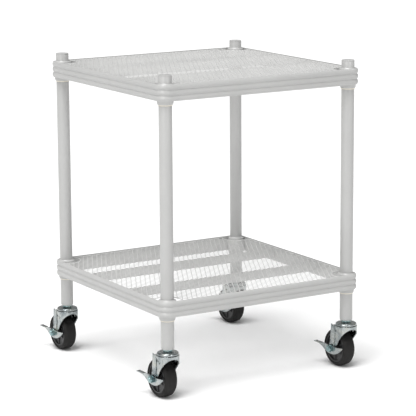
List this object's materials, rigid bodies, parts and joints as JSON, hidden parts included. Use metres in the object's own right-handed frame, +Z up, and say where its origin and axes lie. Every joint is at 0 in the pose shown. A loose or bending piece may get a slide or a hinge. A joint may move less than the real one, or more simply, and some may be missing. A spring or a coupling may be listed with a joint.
{
  "type": "mobile printer stand",
  "caption": "Square two-shelf mesh-deck stand on round posts with a ribbed rim round each shelf, rolling on swivel casters with side brake levers.",
  "frame": {"origin": "floor level under the middle of the whole bounding box, levers included", "axes": "+Z up, -Y the front, +X to the right seen from the front; at rest all four wheels trail towards +Y"},
  "size_m": [0.465, 0.501, 0.618],
  "materials": {
    "grey_paint": "light grey powder coat, satin",
    "bar_paint": "light grey powder coat, satin",
    "mesh_paint": "light grey powder coat over expanded steel",
    "sleeve_plastic": "ivory moulded plastic",
    "zinc_plate": "bright zinc plate",
    "bolt_zinc": "blue passivated zinc plate",
    "ball_steel": "polished, greased",
    "hub_plastic": "black moulded plastic",
    "tyre_rubber": "black rubber, soft sheen"
  },
  "bodies": {
    "stand": {"front_left_post": "grey_paint", "front_right_post": "grey_paint", "rear_left_post": "grey_paint", "rear_right_post": "grey_paint", "post_caps": "grey_paint", "post_sockets": "grey_paint", "lower_front_rail": "grey_paint", "lower_right_rail": "grey_paint", "lower_rear_rail": "grey_paint", "lower_left_rail": "grey_paint", "lower_corners": "grey_paint", "lower_sleeves": "sleeve_plastic", "lower_crossbars": "bar_paint", "lower_mesh_right_strands": "mesh_paint", "lower_mesh_left_strands": "mesh_paint", "upper_front_rail": "grey_paint", "upper_right_rail": "grey_paint", "upper_rear_rail": "grey_paint", "upper_left_rail": "grey_paint", "upper_corners": "grey_paint", "upper_sleeves": "sleeve_plastic", "upper_crossbars": "bar_paint", "upper_mesh_right_strands": "mesh_paint", "upper_mesh_left_strands": "mesh_paint", "front_left_stem": "bolt_zinc", "front_left_race": "zinc_plate", "front_right_stem": "bolt_zinc", "front_right_race": "zinc_plate", "rear_left_stem": "bolt_zinc", "rear_left_race": "zinc_plate", "rear_right_stem": "bolt_zinc", "rear_right_race": "zinc_plate"},
    "front_left_caster": {"front_left_fork": "zinc_plate", "front_left_balls": "ball_steel", "front_left_axle": "bolt_zinc", "front_left_brake_bracket": "zinc_plate"},
    "front_left_wheel": {"front_left_wheel_hub": "hub_plastic", "front_left_wheel_tyre": "tyre_rubber"},
    "front_left_brake": {"front_left_brake_lever": "zinc_plate"},
    "front_right_caster": {"front_right_fork": "zinc_plate", "front_right_balls": "ball_steel", "front_right_axle": "bolt_zinc", "front_right_brake_bracket": "zinc_plate"},
    "front_right_wheel": {"front_right_wheel_hub": "hub_plastic", "front_right_wheel_tyre": "tyre_rubber"},
    "front_right_brake": {"front_right_brake_lever": "zinc_plate"},
    "rear_left_caster": {"rear_left_fork": "zinc_plate", "rear_left_balls": "ball_steel", "rear_left_axle": "bolt_zinc", "rear_left_brake_bracket": "zinc_plate"},
    "rear_left_wheel": {"rear_left_wheel_hub": "hub_plastic", "rear_left_wheel_tyre": "tyre_rubber"},
    "rear_left_brake": {"rear_left_brake_lever": "zinc_plate"},
    "rear_right_caster": {"rear_right_fork": "zinc_plate", "rear_right_balls": "ball_steel", "rear_right_axle": "bolt_zinc", "rear_right_brake_bracket": "zinc_plate"},
    "rear_right_wheel": {"rear_right_wheel_hub": "hub_plastic", "rear_right_wheel_tyre": "tyre_rubber"},
    "rear_right_brake": {"rear_right_brake_lever": "zinc_plate"}
  },
  "joints": [
    {"name": "front_left_swivel", "type": "hinge", "parent": "stand", "child": "front_left_caster", "pos_m": [-0.2021, -0.2285, 0.08825], "axis": [0, 0, 1], "continuous": true},
    {"name": "front_left_wheel_spin", "type": "hinge", "parent": "front_left_caster", "child": "front_left_wheel", "pos_m": [-0.2021, -0.2065, 0.0375], "axis": [1, 0, 0], "continuous": true},
    {"name": "front_left_brake_press", "type": "hinge", "parent": "front_left_caster", "child": "front_left_brake", "pos_m": [-0.2021, -0.2065, 0.0375], "axis": [-1, 0, 0], "range_deg": [0, 18]},
    {"name": "front_right_swivel", "type": "hinge", "parent": "stand", "child": "front_right_caster", "pos_m": [0.2089, -0.2285, 0.08825], "axis": [0, 0, 1], "continuous": true},
    {"name": "front_right_wheel_spin", "type": "hinge", "parent": "front_right_caster", "child": "front_right_wheel", "pos_m": [0.2089, -0.2065, 0.0375], "axis": [1, 0, 0], "continuous": true},
    {"name": "front_right_brake_press", "type": "hinge", "parent": "front_right_caster", "child": "front_right_brake", "pos_m": [0.2089, -0.2065, 0.0375], "axis": [-1, 0, 0], "range_deg": [0, 18]},
    {"name": "rear_left_swivel", "type": "hinge", "parent": "stand", "child": "rear_left_caster", "pos_m": [-0.2021, 0.1825, 0.08825], "axis": [0, 0, 1], "continuous": true},
    {"name": "rear_left_wheel_spin", "type": "hinge", "parent": "rear_left_caster", "child": "rear_left_wheel", "pos_m": [-0.2021, 0.2045, 0.0375], "axis": [1, 0, 0], "continuous": true},
    {"name": "rear_left_brake_press", "type": "hinge", "parent": "rear_left_caster", "child": "rear_left_brake", "pos_m": [-0.2021, 0.2045, 0.0375], "axis": [-1, 0, 0], "range_deg": [0, 18]},
    {"name": "rear_right_swivel", "type": "hinge", "parent": "stand", "child": "rear_right_caster", "pos_m": [0.2089, 0.1825, 0.08825], "axis": [0, 0, 1], "continuous": true},
    {"name": "rear_right_wheel_spin", "type": "hinge", "parent": "rear_right_caster", "child": "rear_right_wheel", "pos_m": [0.2089, 0.2045, 0.0375], "axis": [1, 0, 0], "continuous": true},
    {"name": "rear_right_brake_press", "type": "hinge", "parent": "rear_right_caster", "child": "rear_right_brake", "pos_m": [0.2089, 0.2045, 0.0375], "axis": [-1, 0, 0], "range_deg": [0, 18]}
  ]
}
